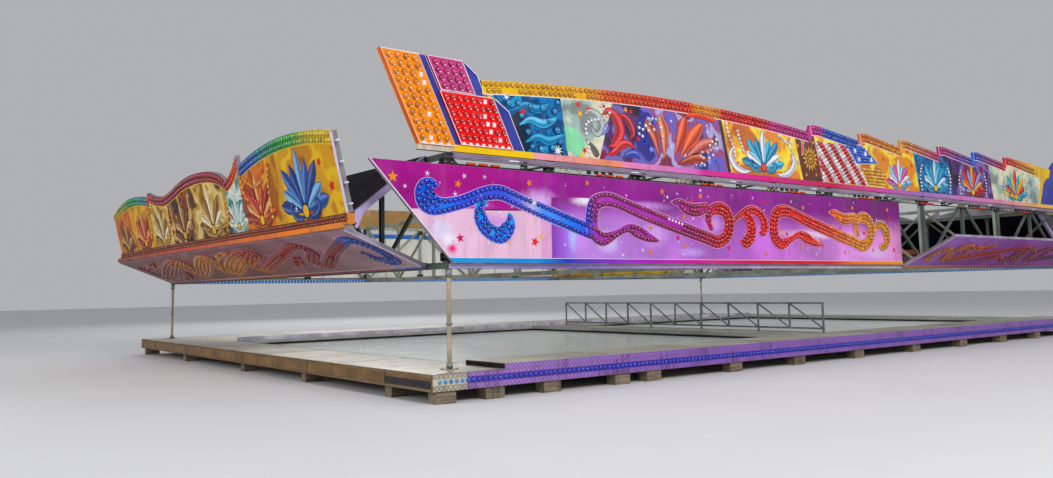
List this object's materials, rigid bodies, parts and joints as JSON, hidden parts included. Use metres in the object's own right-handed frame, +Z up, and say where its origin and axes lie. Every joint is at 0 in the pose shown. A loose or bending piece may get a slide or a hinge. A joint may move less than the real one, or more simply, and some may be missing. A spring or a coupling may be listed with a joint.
{
  "type": "bumper car arena",
  "caption": "Fairground bumper car arena on timber packing, with a low lattice roof on four posts and hinged scroll boards and crown boards partly folded out.",
  "frame": {"origin": "on the ground under the middle of the deck, at the underside of a packing block", "axes": "+Z up; +X to the right along the front; +Y from the front to the rear"},
  "size_m": [24.039, 15.4149, 4.856],
  "materials": {
    "bearer": "weathered timber packing under rust brown steel beams",
    "tread_plate": "worn chequer plate",
    "driving_floor": "polished and scuffed sheet steel",
    "edge_board": "ribbed edge plate with a lamp band",
    "kerb": "off white gloss",
    "railing": "dull grey",
    "post": "cream, worn",
    "girder": "grey green satin",
    "cover_roll": "yellow coated cloth",
    "scroll_board": "gloss fairground paint, purple to lilac",
    "crown_base": "gloss, colour changes along its length",
    "picture_board": "gloss fairground paint",
    "closing_board": "plain dark satin",
    "crown_frame": "gloss base band on dark steel",
    "end_board": "deep blue gloss with white edges",
    "orange_panel": "gloss orange behind domed lamps",
    "pink_panel": "gloss pink behind domed lamps",
    "red_panel": "gloss red behind domed lamps",
    "rear_crown": "bare tan board back"
  },
  "bodies": {
    "deck_and_roof": {"front_bearer": "bearer", "floor_front_bearer": "bearer", "floor_middle_bearer_1": "bearer", "floor_middle_bearer_2": "bearer", "floor_rear_bearer": "bearer", "rear_bearer": "bearer", "front_walkway": "tread_plate", "left_walkway": "tread_plate", "right_walkway": "tread_plate", "rear_walkway": "tread_plate", "centre_strip": "tread_plate", "left_driving_floor": "driving_floor", "right_driving_floor": "driving_floor", "front_edge_board": "edge_board", "rear_edge_board": "edge_board", "left_edge_board": "edge_board", "right_edge_board": "edge_board", "rear_kerb": "kerb", "centre_railing": "railing", "front_left_post": "post", "front_right_post": "post", "rear_left_post": "post", "rear_right_post": "post", "front_girder": "girder", "rear_girder": "girder", "left_girder": "girder", "right_girder": "girder", "cross_girder_1": "girder", "cross_girder_2": "girder", "cross_girder_3": "girder", "roof_cover_roll": "cover_roll", "rear_flap": "scroll_board", "right_flap": "scroll_board", "right_crown_base": "crown_base", "right_crown_board": "picture_board", "right_closing_board": "closing_board", "front_crown_frame": "crown_frame", "crown_left_end_board": "end_board", "orange_lamp_panel": "orange_panel", "red_lamp_panel": "red_panel", "pink_lamp_panel": "pink_panel", "crown_right_end_board": "end_board", "front_crown_board_left": "picture_board", "front_crown_board_right": "picture_board", "rear_crown": "rear_crown"},
    "front_left_flap": {"front_left_flap": "scroll_board"},
    "front_right_flap": {"front_right_flap": "scroll_board"},
    "left_flap": {"left_flap": "scroll_board"},
    "left_crown": {"left_crown_base": "crown_base", "left_crown_board": "picture_board", "left_closing_board": "closing_board"}
  },
  "joints": [
    {"name": "front_left_flap_hinge", "type": "hinge", "parent": "deck_and_roof", "child": "front_left_flap", "pos_m": [-4.4, -6.8303, 1.905], "axis": [1, 0, 0], "range_deg": [0, 67]},
    {"name": "front_right_flap_hinge", "type": "hinge", "parent": "deck_and_roof", "child": "front_right_flap", "pos_m": [6, -6.8303, 1.905], "axis": [1, 0, 0], "range_deg": [-64, 0]},
    {"name": "left_flap_hinge", "type": "hinge", "parent": "deck_and_roof", "child": "left_flap", "pos_m": [-10.4683, 0.17, 1.905], "axis": [0, 1, 0], "range_deg": [0, 55]},
    {"name": "left_crown_hinge", "type": "hinge", "parent": "left_flap", "child": "left_crown", "pos_m": [-11.79503, 0.17, 2.42348], "axis": [0, 1, 0], "range_deg": [-55, 0]}
  ],
  "couplings": [
    {"joint": "left_crown_hinge", "follows": "left_flap_hinge", "ratio": -1}
  ]
}
